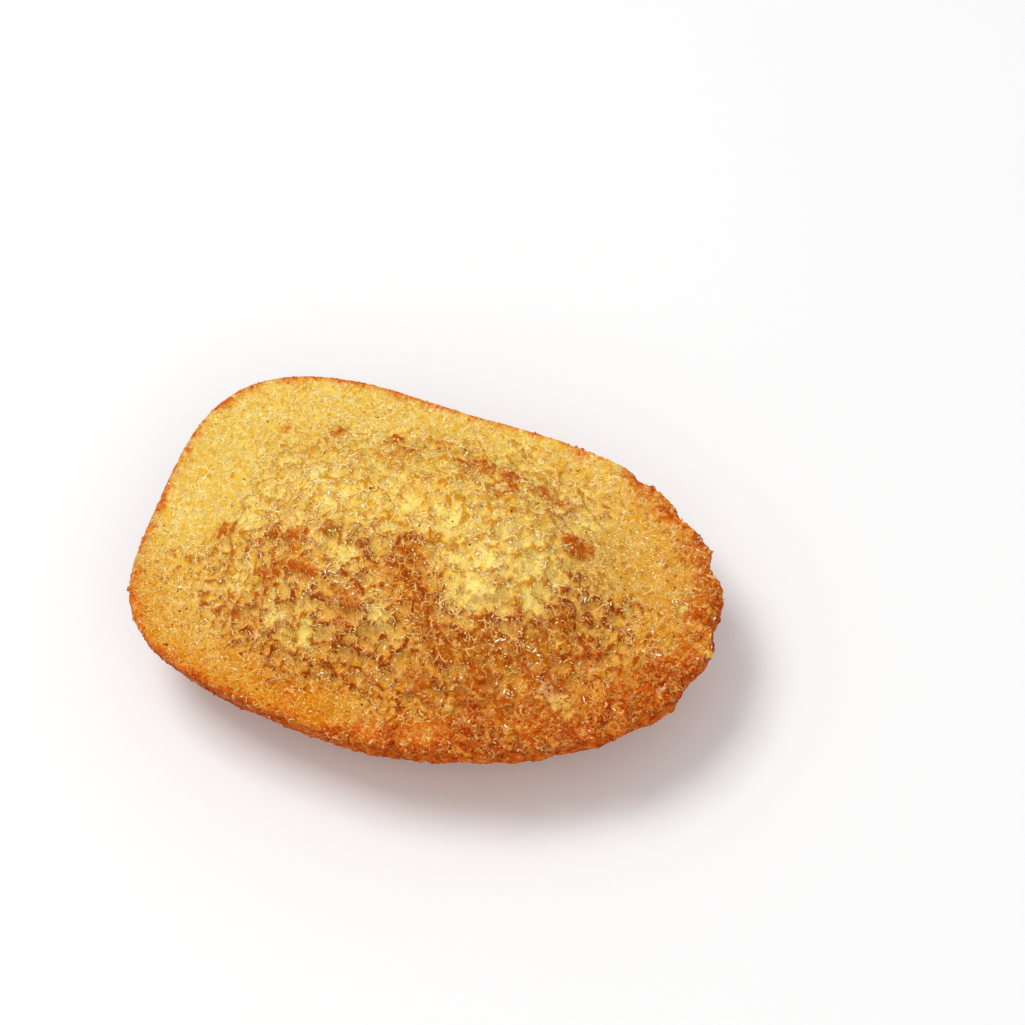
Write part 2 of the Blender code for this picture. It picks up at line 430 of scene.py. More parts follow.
def crisp_width(angle):
    """Width of the rim's browned band: 1.3 mm at the far left, 4.8 mm at the near right."""
    lean = 0.5 + 0.5 * np.cos(angle - CRISP_SIDE)
    return (1.3 + 3.5 * lean ** 5) * MM


def torn_share(base, place):
    """1 where the hump has broken open and 0 on whole skin: a squarish oval, (x^n + y^n)^(1/n),
    with a wandering edge.
    """
    offset = np.abs((place - np.array(OPEN_CENTRE)) / np.array(OPEN_REACH))
    reach = (offset ** OPEN_SQUARENESS).sum(-1) ** (1 / OPEN_SQUARENESS)
    reach = reach + 0.12 * layered_noise(base, 7 * MM, 21, 3) + 0.45 * near_places(place, WHOLE)
    return smooth_step(1.10, 0.82, reach)


def crescent(place):
    """The valley on the near side of the right lobe: exp(-d^2) of the distance d to a circle,
    faded out round its far side. Its darker colour is partly painted shadow of the lobe.
    """
    x, y, radius, half_width = CRESCENT
    distance = flat_distance(place, x, y) / MM - radius
    angle = np.arctan2(place[..., 1] - y * MM, place[..., 0] - x * MM)
    return np.exp(-(distance / half_width) ** 2) * smooth_step(0.0, 0.35, -np.sin(angle + 0.1))


def torn_relief(base, place):
    """Height of the torn crumb along the normal: lumps of three sizes, less burst bubbles of two
    sizes, less the valley and the smooth hollows. Also the lumps' tone and the hollows' mask.
    """
    height, tone = 0, 0
    for cell, rise, seed, share, least, gain, middle in TORN_LUMPS:
        lump, own = lumps(base, cell * MM, seed)
        height = height + rise * (lump * (least + gain * own) - middle)
        tone = tone + share * own
    for cell, depth, seed in TORN_BUBBLES:
        height = height - depth * bubbles(base, cell * MM, seed)
    wander = np.stack([soft_noise(base, 3 * MM, seed) for seed in (85, 86)], -1)
    valley = crescent(place + 0.8 * MM * wander)
    pits = pores(warped(base, 3 * MM, 0.8 * MM, 81), 4.2 * MM, 83, 0.32, 0.16, 0.78)
    hollow = np.maximum(pits, smooth_step(0.25, 0.75, near_places(place, HOLLOWS)))
    # The valley goes into the hollow mask and is painted amber: partly painted shadow.
    hollow = np.maximum(hollow, 0.85 * valley)
    height = mix(height * MM - VALLEY_DEPTH * valley, -HOLLOW_DEPTH, 0.8 * hollow)
    return height, smooth_step(0.20, 0.80, tone), hollow


def margin_relief(base):
    """Height of the whole skin: slow waves, fine lumps and bubbles and a few open pores. Also the
    lumps' own numbers.
    """
    fine, tone = lumps(base, 0.70 * MM, 97)
    height = 0.28 * soft_noise(base, 8 * MM, 91) + 0.14 * soft_noise(base, 3.5 * MM, 92)
    height = height + 0.08 * (fine - 0.5) - 0.06 * bubbles(base, 1.0 * MM, 95)
    return MM * (height - 0.3 * pores(base, 1.7 * MM, 93, 0.30, 0.10, 0.72)), tone


def crisp_relief(base):
    """Height of the crisp rim: coarse lumps, bubbles and noise. Also the lumps' own numbers."""
    crust, tone = lumps(base, 1.2 * MM, 65)
    height = 0.65 * (crust * (0.5 + 0.7 * tone) - 0.5) - 0.30 * bubbles(base, 0.9 * MM, 67)
    return MM * (height + 0.30 * layered_noise(base, 1.6 * MM, 69, 2)), tone


def crisp_share(base, inward, angle):
    """1 on the crispest rim, falling off inwards as exp(-(d / width)^1.2), softer where the band
    is narrow and mottled by noise.
    """
    width = crisp_width(angle)
    crisp = 0.55 + 0.45 * smooth_step(1.3 * MM, 2.8 * MM, width)
    crisp = crisp * np.exp(-(inward / width) ** 1.2)
    return np.clip(crisp * (1 + 0.6 * layered_noise(base, 2.5 * MM, 31, 3)), 0, 1)


def heat_and_shade(base, place, angle, inward, torn, pale):
    """How warm the crumb's colour is, partly browning and partly painted shade: it grows across the
    cake towards the hot end, which is also the side turned from the light, on the near margin, low
    on the open hump, partly painted shade, and in the valley, painted shadow; it fades on the pale
    crumb and on the right lobe, whose paleness is partly painted light. Also the slant across the
    cake that it grows along, in millimetres.
    """
    slant = (0.62 * place[..., 0] - 0.50 * place[..., 1]) / MM
    slant = slant + 5 * layered_noise(base, 9 * MM, 121)
    near_margin = np.exp(-(inward / (8 * MM)) ** 1.5) * smooth_step(
        0.6, 0.92, np.cos(angle - NEAR_SIDE))
    low_hump = torn * smooth_step(3 * MM, -9 * MM, place[..., 1]) * smooth_step(
        -36 * MM, -12 * MM, place[..., 0])
    # The slant term grows on the side turned from the light, the low hump term on the hump's lower
    # flank and the crescent term in the valley: partly painted shade.
    warmth_and_shade = np.clip(smooth_step(-18, 38, slant) + 0.80 * near_margin + 0.40 * low_hump
                     + 0.7 * crescent(place), 0, 1)
    right_lobe = smooth_step(11 * MM, 5 * MM, flat_distance(place, *CRESCENT[:2]))
    return warmth_and_shade * (1 - 0.85 * pale) * (1 - 0.55 * right_lobe), slant


def crumb_side(cake):
    """The upper skin and its masks. Height is the sagging margin, the hump and the relief of the
    crumb along the surface's normal; the outermost strip rounds down over the lip.
    """
    across, along = grid(cake)
    flat_place = fan(cake, across, along)
    nearness, angle = nearness_to_rim(cake, flat_place)
    place = scalloped(cake, flat_place, across, along)
    inward = (1 - nearness) * rim_reach(cake, angle)
    lip_share = np.clip(1 - inward / (0.8 * MM), 0, 1)
    height = upper_height(cake, place, nearness)
    height = height - cake.lip_height * (1 - np.sqrt(1 - lip_share ** 2))
    base = np.dstack([place, height])
    edge_turn = smooth_step(0.3, 1.0, lip_share)
    normal = turned_outwards(normals_of(base), angle, edge_turn)

    torn = torn_share(base, place)
    crisp = crisp_share(base, inward, angle)
    torn_height, torn_tone, hollow = torn_relief(base, place)
    whole_height, whole_tone = margin_relief(base)
    crisp_height, crust_tone = crisp_relief(base)
    relief = mix(mix(whole_height, crisp_height, 0.9 * crisp), torn_height, torn)
    relief = relief * (1 - edge_turn)
    points = base + normal * (relief + ragged_rim(place, nearness, angle))[..., None]

    toasted = near_places(place, TOASTED) * (0.95 + 0.6 * layered_noise(base, 1.8 * MM, 101, 3))
    toasted = smooth_step(0.22, 0.70, toasted) * (0.6 + 0.4 * smooth_step(0.2, 0.7, torn_tone))
    patches = smooth_step(0.15, 0.75, layered_noise(base, 4.5 * MM, 105, 3)) * torn
    patches = patches * smooth_step(6 * MM, -8 * MM, place[..., 1])
    toasted = np.maximum(toasted, 0.55 * patches)
    pale = near_places(place, PALE) * (0.9 + 0.6 * layered_noise(base, 2.5 * MM, 111, 2))
    pale = np.clip(pale * torn, 0, 1)
    warmth_and_shade, slant = heat_and_shade(base, place, angle, inward, torn, pale)
    broad_end = smooth_step(10 * MM, 26 * MM, place[..., 0])
    # level and shade measure how far a place lies under its surroundings; masks drawn from them
    # paint shade into low places and light onto ridges.
    level, shade = sunk_under(relief, 5), sunk_under(relief, 2)
    return points, {
        # The slant term browns the side turned from the light: partly real browning, partly painted
        # shade.
        "browning": np.clip(crisp + (0.85 - 0.25 * torn) * toasted * (1 - crisp)
                            + 0.30 * smooth_step(13, 30, slant), 0, 1),
        # The hollow mask holds the listed hollows, pits and the valley, and the low places of the
        # relief, whose amber is painted shade.
        "hollow": np.clip(hollow * torn + smooth_step(0.02 * MM, 0.38 * MM, level), 0, 1),
        # Ridges are painted lighter and crevices darker: painted highlight and painted shade.
        "ridge": smooth_step(0.02 * MM, 0.12 * MM, -shade),
        "crevice": smooth_step(0.02 * MM, 0.14 * MM, shade),
        "pale": pale,
        "tone": mix(mix(0.22 + 0.60 * whole_tone, crust_tone, crisp), torn_tone, torn),
        "warmth_and_shade": warmth_and_shade,
        "torn": np.maximum(torn, 0.65 * broad_end),
        # The dry mask marks where white flakes go that are painted glints.
        "dry": np.clip(near_places(place, GLINT_FLAKE_PLACES) * torn, 0, 1),
    }


def shell_side(cake):
    """The fluted skin and its masks: the bowl, depth (1 - r^2.7)^(1/1.75), pushed out along its
    normal by the ribs and by the fine relief of the crust.
    """
    across, along = grid(cake)
    flat_place = fan(cake, across, along)
    nearness, _ = nearness_to_rim(cake, flat_place)
    drawn = np.sin(WALL_CROWDING * nearness) / (math.sin(WALL_CROWDING) * nearness)
    drawn_place = flat_place * drawn[..., None]
    nearness, angle = nearness_to_rim(cake, drawn_place)
    place = scalloped(cake, drawn_place, across, along)
    inward = (1 - nearness) * rim_reach(cake, angle)
    depth = cake.shell_depth * (1 - nearness ** BOWL_ROUNDNESS) ** (1 / WALL_STEEPNESS)
    base = np.dstack([place, -depth])
    edge_turn = smooth_step(0.985, 1.0, nearness)
    normal = turned_outwards(normals_of(base, -1), angle, edge_turn)
    clear_of_rim = 1 - nearness ** RIM_NARROWNESS
    ribs = rib(cake, across, along)
    points = base + normal * (cake.rib_height * (ribs - 0.5) * clear_of_rim)[..., None]
    points[..., 2] -= cake.lip_height * (1 - clear_of_rim)

    fine, fine_tone = lumps(points, 0.70 * MM, 471)
    crust, _ = lumps(points, 1.2 * MM, 461)
    crisp = np.exp(-(inward / (0.5 * crisp_width(angle))) ** 1.5)
    relief = 0.20 * soft_noise(points, 7 * MM, 491) + 0.10 * soft_noise(points, 3 * MM, 492)
    relief = relief + 0.11 * (fine - 0.5) - 0.08 * bubbles(points, 1.0 * MM, 485)
    relief = relief - 0.3 * pores(points, 1.5 * MM, 481, 0.32, 0.10, 0.78)
    relief = MM * (relief + 0.3 * crisp * (crust - 0.5)) * (1 - edge_turn)
    points = points + normal * (relief + ragged_rim(place, nearness, angle))[..., None]
    points[..., 2] = np.maximum(points[..., 2], FOOT_CUT - cake.shell_depth)

    shade = sunk_under(relief, 2)
    patches = 0.5 + 0.5 * layered_noise(points, 9 * MM, 501, 3)
    light_band = smooth_step(3.5 * MM, 1.0 * MM, np.abs(inward - 3.5 * MM))
    light_band = light_band * smooth_step(-0.1, 0.8, -np.sin(angle)) * smooth_step(0.3, 0.8, along)
    browning = 0.62 + 0.25 * patches - 0.20 * ribs - 0.42 * light_band + 0.35 * crisp
    pale = smooth_step(0.55, 0.95, layered_noise(points, 6 * MM, 511, 2) + 0.5)
    nothing = np.zeros_like(shade)
    return points, {
        "browning": np.clip(browning, 0, 1), "warmth_and_shade": 0.6 + 0.4 * patches, "hollow": nothing,
        # Ridges are painted lighter and crevices darker: painted highlight and painted shade.
        "ridge": smooth_step(0.01 * MM, 0.07 * MM, -shade),
        "crevice": smooth_step(0.02 * MM, 0.10 * MM, shade),
        "pale": 0.6 * pale * smooth_step(0.4, 0.9, along), "tone": fine_tone, "torn": nothing,
        "dry": nothing,
    }


# ---------------------------------------------------------------- meshes

def make_mesh(name, points, groups, hidden=0):
    """A mesh object from an array of points and arrays of faces, each of equal sides. The last
    hidden faces are shaded flat, so that they don't turn the visible ones' normals.
    """
    mesh = bpy.data.meshes.new(name)
    mesh.vertices.add(len(points))
    mesh.vertices.foreach_set("co", points.astype(np.float32).ravel())
    corners = np.concatenate([group.ravel() for group in groups])
    sides = np.concatenate([np.full(len(group), group.shape[1]) for group in groups])
    mesh.loops.add(len(corners))
    mesh.loops.foreach_set("vertex_index", corners.astype(np.int32))
    mesh.polygons.add(len(sides))
    mesh.polygons.foreach_set("loop_start", (np.cumsum(sides) - sides).astype(np.int32))
    mesh.polygons.foreach_set("use_smooth", np.arange(len(sides)) < len(sides) - hidden)
    mesh.update(calc_edges=True)
    mesh.validate()
    piece = bpy.data.objects.new(name, mesh)
    bpy.context.scene.collection.objects.link(piece)
    return piece


def finish_piece(piece, masks, material):
    """Store each mask as a point attribute, give the piece its material and let it ride."""
    for name, values in masks.items():
        full = np.zeros(len(piece.data.vertices), np.float32)
        full[:values.size] = values.ravel()
        piece.data.attributes.new(name, "FLOAT", "POINT").data.foreach_set("value", full)
    piece.data.materials.append(material)
    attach(piece, "root")


def seat_shift(cake):
    """From the widest place at the rim's level to the CAD frame: the rim's plan box is centred
    on the CAD box, and the foot stands on its floor.
    """
    across, along = grid(cake)
    rim = scalloped(cake, fan(cake, across, along), across, along).reshape(-1, 2)
    low, high = np.array(CAD_BOX[0]), np.array(CAD_BOX[1])
    shift = (low + high - np.array([*(rim.min(0) + rim.max(0)), 0])) / 2
    shift[2] = low[2] + cake.shell_depth - FOOT_CUT
    return shift


def closed_skin(cake, name, points, masks, material, upwards):
    """Quads over the grid, closed by a fan of triangles from its edge to one hidden point, seated
    in the CAD frame in place of the plain solid.
    """
    rows, columns = points.shape[:2]
    index = np.arange(rows * columns).reshape(rows, columns)
    quads = np.stack([index[:-1, :-1], index[:-1, 1:], index[1:, 1:], index[1:, :-1]], -1)
    quads = quads.reshape(-1, 4)
    edge = np.concatenate([index[0, :-1], index[:-1, -1], index[-1, :0:-1], index[:0:-1, 0]])
    cap = np.stack([np.roll(edge, -1), edge, np.full(len(edge), rows * columns)], -1)
    if upwards:
        quads, cap = quads[:, ::-1], cap[:, ::-1]
    everything = np.vstack([points.reshape(-1, 3), [[0, 0, HIDDEN_DEPTH]]])
    piece = make_mesh(name, everything, [quads, cap], hidden=len(cap))
    piece.data.transform(Matrix.Translation(Vector(seat_shift(cake))))
    finish_piece(piece, masks, material)
    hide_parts("cake")


# ---------------------------------------------------------------- loose bits

class Skin:
    """A skin's visible faces: centres, normals, areas and masks, as arrays."""

    def __init__(self, name):
        piece = bpy.data.objects.get(name)
        if piece is None:
            raise RuntimeError(f"{name} has to be built first")
        faces = piece.data.polygons
        shown = self.values(faces, "loop_total", int) == 4
        corner = self.values(piece.data.loops, "vertex_index", int)
        first = corner[self.values(faces, "loop_start", int)[shown]]
        self.centre = self.values(faces, "center", np.float32, 3).reshape(-1, 3)[shown]
        self.normal = self.values(faces, "normal", np.float32, 3).reshape(-1, 3)[shown]
        self.area = self.values(faces, "area", np.float32)[shown]
        self.masks = {mask: self.values(piece.data.attributes[mask].data, "value",
                                        np.float32)[first] for mask in MASKS}

    @staticmethod
    def values(items, field, kind, size=1):
        array = np.empty(size * len(items), kind)
        items.foreach_get(field, array)
        return array


def scattered(skin, weight, count, draw):
    """Seats for loose bits: faces drawn by area times weight. Returns places, frames of two
    tangents and the normal, and the masks there.
    """
    chance = skin.area * np.clip(weight, 0, None)
    chosen = draw.choice(len(chance), count, p=chance / chance.sum())
    up = unit(skin.normal[chosen] + draw.normal(0, 0.18, (count, 3)))
    side = unit(np.cross(up, draw.normal(size=(count, 3))))
    frames = np.stack([side, np.cross(up, side), up], 1)
    return skin.centre[chosen], frames, {name: mask[chosen] for name, mask in skin.masks.items()}


def ball(subdivisions):
    """Points and triangles of an icosphere of radius 1."""
    mesh = bmesh.new()
    bmesh.ops.create_icosphere(mesh, subdivisions=subdivisions, radius=1)
    points = np.array([vertex.co[:] for vertex in mesh.verts])
    faces = np.array([[vertex.index for vertex in face.verts] for face in mesh.faces])
    mesh.free()
    return points, faces


def nuggets(count, sizes, draw, flatness, roughness, sunk, subdivisions, narrowness=1.0):
    """Rounded broken bits: a ball whose radius is 1 plus noise, squashed and stretched, each sunk
    into the skin by a share of its height.
    """
    shape, faces = ball(subdivisions)
    offsets = draw.uniform(0, 40, (count, 1, 3))
    radius = 1 + roughness * soft_noise(shape[None] + offsets, 0.9, 601)
    stretch = draw.uniform(0.7, 1.3, (count, 1, 3)) * np.array([1, narrowness, flatness])
    local = shape[None] * radius[..., None] * stretch * sizes[:, None, None]
    local[..., 2] += ((1 - 2 * sunk) * flatness * sizes)[:, None]
    return local, faces


def curls(count, sizes, draw):
    """Torn strands: thin strips of four-sided section that follow an arc with a wave on it, lift
    off the skin in their middle and taper to their ends.
    """
    steps = 7
    run = np.linspace(-1, 1, steps)
    bend = draw.uniform(0.2, 1.6, (count, 1)) * draw.choice((-1, 1), (count, 1))
    turn = bend * run
    phase = draw.uniform(0, 2 * math.pi, (count, 1))
    wave = draw.uniform(0, 0.22, (count, 1)) * np.sin(draw.uniform(3, 7, (count, 1)) * run + phase)
    lift = draw.uniform(0.0, 0.16, (count, 1)) * (1 - run ** 2) + 0.3 * wave
    centre = np.stack([np.sin(turn) / bend, (1 - np.cos(turn)) / bend + wave, lift], -1)
    tip = draw.uniform(-0.6, 0.6, (count, 1)) + 0 * turn
    across = np.stack([-np.sin(turn), np.cos(turn), tip], -1)
    width = draw.uniform(0.09, 0.19, (count, 1)) * np.sqrt(1.08 - run ** 2)
    upward = np.array([0, 0, 0.7])
    local = np.stack([centre + side * width[..., None] for side in (
        across, upward, -across, -upward)], 2) * sizes[:, None, None, None]
    index = np.arange(steps * 4).reshape(steps, 4)
    follow = np.roll(index, -1, 1)
    sides = np.stack([index[:-1], follow[:-1], follow[1:], index[1:]], -1).reshape(-1, 4)
    caps = np.stack([index[0, ::-1], index[-1]])
    return local.reshape(count, -1, 3), np.vstack([sides, caps])


def bit_masks(masks, count, draw, paleness, browned=1.0, warmed_and_shaded=1.0):
    """Masks of loose bits: browned and warm as the skin under them, the warm share partly painted
    shade, paler, each with its tone.
    """
    pale = np.clip(paleness * draw.uniform(0.4, 1.3, count) * (1 - 0.75 * masks["browning"]), 0, 1)
    nothing = np.zeros(count)
    return {"browning": browned * masks["browning"] * draw.uniform(0.5, 1.1, count),
            "warmth_and_shade": warmed_and_shaded * masks["warmth_and_shade"] * draw.uniform(0.5, 1.0, count), "hollow": nothing,
            "ridge": nothing, "crevice": nothing, "pale": pale, "tone": draw.random(count)}


# Kinds of loose bits: how many, their least and greatest size in millimetres, then the mean and
# spread of its logarithm where small ones are commoner, how pale, browned and warm they are, the
# warm share being partly painted shade, and their shape
BITS = {
    "crumb_lumps": dict(count=160, sizes=(0.25, 0.7, -0.85, 0.30), shades=(0.1, 0.4),
                        flatness=0.45, roughness=0.6, sunk=0.66, subdivisions=2),
    "torn_strands": dict(count=1400, sizes=(0.22, 0.70), shades=(0.75, 1.0, 0.7), shape=curls),
    # White flakes that are painted glints.
    "dry_flakes": dict(count=520, sizes=(0.11, 0.38), shades=(1.6, 0.1, 0.05), flatness=0.35,
                       roughness=0.5, sunk=0.4, subdivisions=1, narrowness=0.35),
    # Pale grains: partly crumb grains, partly painted glints.
    "crumb_grains": dict(count=5200, sizes=(0.09, 0.26), shades=(0.8, 1.0, 0.5), flatness=0.5,
                         roughness=0.5, sunk=0.42, subdivisions=1, narrowness=0.5),
    "rim_crumbs": dict(count=560, sizes=(0.10, 0.5, -1.50, 0.45), shades=(0.3,), flatness=0.6,
                       roughness=0.8, sunk=0.55, subdivisions=2, narrowness=0.75),
    "crumb_specks": dict(count=150, sizes=(0.07, 0.15), shades=(0.0,), flatness=0.6,
                         roughness=0.3, sunk=0.25, subdivisions=1),
}
BITS["crust_grains"] = BITS["crumb_grains"] | dict(count=4200, shades=(0.5, 1.0, 0.5))
BITS["crust_specks"] = BITS["crumb_specks"] | dict(count=90)


def bit_sizes(count, draw, low, high, mean=None, spread=None):
    """Even sizes between two, or lognormal ones cut off there."""
    if mean is None:
        return MM * draw.uniform(low, high, count)
    return MM * np.clip(draw.lognormal(mean, spread, count), low, high)


def strew(name, skin, weight, draw, material):
    """One joined mesh of like bits over a skin, commoner where the weight is more: each is drawn a
    seat, a size, a shape and shades of its own, and is carried to its seat by its frame.
    """
    form = dict(BITS[name])
    count, sizes, shades = (form.pop(key) for key in ("count", "sizes", "shades"))
    places, frames, masks = scattered(skin, weight, count, draw)
    sizes = bit_sizes(count, draw, *sizes)
    local, faces = form.pop("shape", nuggets)(count, sizes, draw, **form)
    points = places[:, None] + np.einsum("nkj,nji->nki", local, frames)
    corners = points.shape[1]
    points = points.reshape(-1, 3)
    points[:, 2] = np.maximum(points[:, 2], CAD_BOX[0][2])
    faces = faces[None] + (np.arange(count) * corners)[:, None, None]
    piece = make_mesh(name, points, [faces.reshape(-1, faces.shape[-1])])
    masks = bit_masks(masks, count, draw, *shades)
    finish_piece(piece, {mask: np.repeat(values, corners) for mask, values in masks.items()},
                 material)


# ---------------------------------------------------------------- materials

NUMBER, VECTOR, COLOUR = "NodeSocketFloat", "NodeSocketVector", "NodeSocketColor"


class Signal:
    """A node's output. Arithmetic on it adds Math nodes to its tree."""

    def __init__(self, node, output=0):
        self.tree, self.socket = node.id_data, node.outputs[output]

    def math(self, operation, *others, clamp=False):
        return Signal(add_node(self.tree, "ShaderNodeMath", (self, *others), operation=operation,
                               use_clamp=clamp))

    def __add__(self, other):
        return self.math("ADD", other)

    def __sub__(self, other):
        return self.math("SUBTRACT", other)

    def __mul__(self, other):
        return self.math("MULTIPLY", other)

    def greatest(self, other):
        return self.math("MAXIMUM", other)

    def ranged(self, low, high, to_low=0.0, to_high=1.0):
        """Ease from low..high to to_low..to_high."""
        return Signal(add_node(self.tree, "ShaderNodeMapRange", (self, low, high, to_low, to_high),
                               interpolation_type="SMOOTHSTEP"))


def set_inputs(node, inputs):
    """Set a node's sockets to plain values, or link them to signals."""
    for socket, value in inputs.items() if isinstance(inputs, dict) else enumerate(inputs):
        if isinstance(value, Signal):
            node.id_data.links.new(value.socket, node.inputs[socket])
        else:
            node.inputs[socket].default_value = value
    return node


def add_node(tree, kind, inputs=(), **settings):
    """A node with its properties and sockets set."""
    node = tree.nodes.new(kind)
    for name, value in settings.items():
        setattr(node, name, value)
    return set_inputs(node, inputs)


def mixed(factor, first, second, blend="MIX"):
    """Mix two colours, each a signal or plain, by a factor."""
    tree = next(value.tree for value in (factor, first, second) if isinstance(value, Signal))
    return Signal(add_node(tree, "ShaderNodeMix", {0: factor, 6: first, 7: second},
                           data_type="RGBA", blend_type=blend), 2)


def noise_at(place, scale, detail):
    """A texture of layered noise at a place."""
    return add_node(place.tree, "ShaderNodeTexNoise",
                    {"Vector": place, "Scale": scale, "Detail": detail})


def grey_noise(place, scale, detail):
    return Signal(noise_at(place, scale, detail), "Fac")


def cells_at(place, scale, **settings):
    """A texture of cells round scattered seeds, at a place."""
    return add_node(place.tree, "ShaderNodeTexVoronoi", {"Vector": place, "Scale": scale},
                    **settings)


def chances(node):
    """Two random numbers for each cell of a texture of cells."""
    parts = add_node(node.id_data, "ShaderNodeSeparateColor", (Signal(node, "Color"),))
    return Signal(parts, "Red"), Signal(parts, "Green")


def bent(place, scale, detail, reach):
    """Places moved about by noise, so that cells get wavy edges."""
    moves = Signal(noise_at(place, scale, detail), "Color")
    for operation, inputs in (("SUBTRACT", {1: (0.5, 0.5, 0.5)}), ("SCALE", {"Scale": reach}),
                              ("ADD", {1: place})):
        moves = Signal(add_node(place.tree, "ShaderNodeVectorMath", {0: moves, **inputs},
                                operation=operation))
    return moves


def new_group(name, inputs, outputs):
    """An empty shader node group and its inputs as signals. Sockets are named under their kind."""
    tree = bpy.data.node_groups.new(name, "ShaderNodeTree")
    for in_out, sockets in (("INPUT", inputs), ("OUTPUT", outputs)):
        for kind, names in sockets.items():
            for socket in names:
                tree.interface.new_socket(socket, in_out=in_out, socket_type=kind)
    given = tree.nodes.new("NodeGroupInput")
    return tree, {name: Signal(given, name) for names in inputs.values() for name in names}


def placed_group(tree, build, name, inputs):
    """A group, built at its first use, in a material. Returns its outputs as signals."""
    group = bpy.data.node_groups.get(name) or build(name)
    node = add_node(tree, "ShaderNodeGroup", inputs, node_tree=group)
    return {socket.name: Signal(node, socket.name) for socket in node.outputs}


def grain_group(name):
    """Fine grain of sponge. Thin wavy walls and small round dots stand up, pores sink in; the
    walls are cell edges bent by noise and broken up by a slower noise. The materials paint walls
    and dots pale, partly as painted glints, and pores darker, as painted shade.
    """
    tree, given = new_group(name, {VECTOR: ("Vector",), NUMBER: ("Cell", "Line")},
                            {NUMBER: ("Wall", "Dot", "Pore", "Height", "Shade", "Fleck")})
    place = given["Vector"]
    wavy = bent(place, 1500.0, 2.0, 1.4 * MM)
    edge = Signal(cells_at(wavy, given["Cell"], feature="DISTANCE_TO_EDGE"), "Distance")
    beads = cells_at(wavy, given["Cell"] * 1.9)
    middle, (chance, _) = Signal(beads, "Distance"), chances(beads)
    wall = edge.ranged(given["Line"], 0.03) * grey_noise(place, 900.0, 2.0).ranged(0.46, 0.58)
    dot = middle.ranged(0.36, 0.16) * chance.math("GREATER_THAN", 0.72)
    pore = middle.ranged(0.40, 0.15) * chance.math("LESS_THAN", 0.22)
    fleck = grey_noise(wavy, 2500.0, 3.0)
    add_node(tree, "NodeGroupOutput", {
        "Wall": wall, "Dot": dot, "Pore": pore, "Fleck": fleck,
        "Height": fleck * 1.6 + (wall.greatest(dot) - pore),
        "Shade": grey_noise(place, 420.0, 4.0)})
    return tree


def stroke_group(name):
    """Thin torn walls seen from above: edges of flat cells, a little bent and broken up by noise,
    in two sizes laid over each other. The larger cells also have a tone and a pit each.
    The strokes are painted pale, partly as painted highlight, and the pits darker, as painted
    shade.
    """
    tree, given = new_group(name, {VECTOR: ("Vector",)}, {NUMBER: ("Stroke", "Tone", "Pit")})
    place = given["Vector"]
    wavy = bent(place, 1100.0, 1.0, 0.9 * MM)
    coarse, fine = 760.0, 1350.0
    strokes = []
    for scale, width, gaps, gap in ((coarse, 0.11, 720.0, 0.475), (fine, 0.155, 1000.0, 0.49)):
        edge = Signal(cells_at(wavy, scale, voronoi_dimensions="2D",
                               feature="DISTANCE_TO_EDGE"), "Distance")
        strokes.append(edge.ranged(width, 0.3 * width)
                       * grey_noise(place, gaps, 2.0).ranged(gap, gap + 0.14))
    facets = cells_at(wavy, coarse, voronoi_dimensions="2D")
    tone, chance = chances(facets)
    add_node(tree, "NodeGroupOutput", {
        "Stroke": strokes[0].greatest(strokes[1] * 0.7), "Tone": tone,
        "Pit": Signal(facets, "Distance").ranged(0.50, 0.15) * chance.ranged(0.45, 0.75)})
    return tree


BAKED_COLOURS = ("crumb", "honey", "baked_crumb", "pale_crumb", "amber", "toast", "dark_toast",
                 "glint", "crisp_glint", "flake")
BAKED_NUMBERS = ("Browning", "Warmth_and_shade", "Hollow", "Pale", "Tone", "Shade", "Ridge", "Crevice",
                 "Wall", "Pore", "Fleck", "Torn")
# Tint that pores and crevices are multiplied by: painted shade.
PAINTED_SHADE_TINT = (0.66, 0.35, 0.14, 1)


def socket_name(colour):
    return colour.replace("_", " ").capitalize()


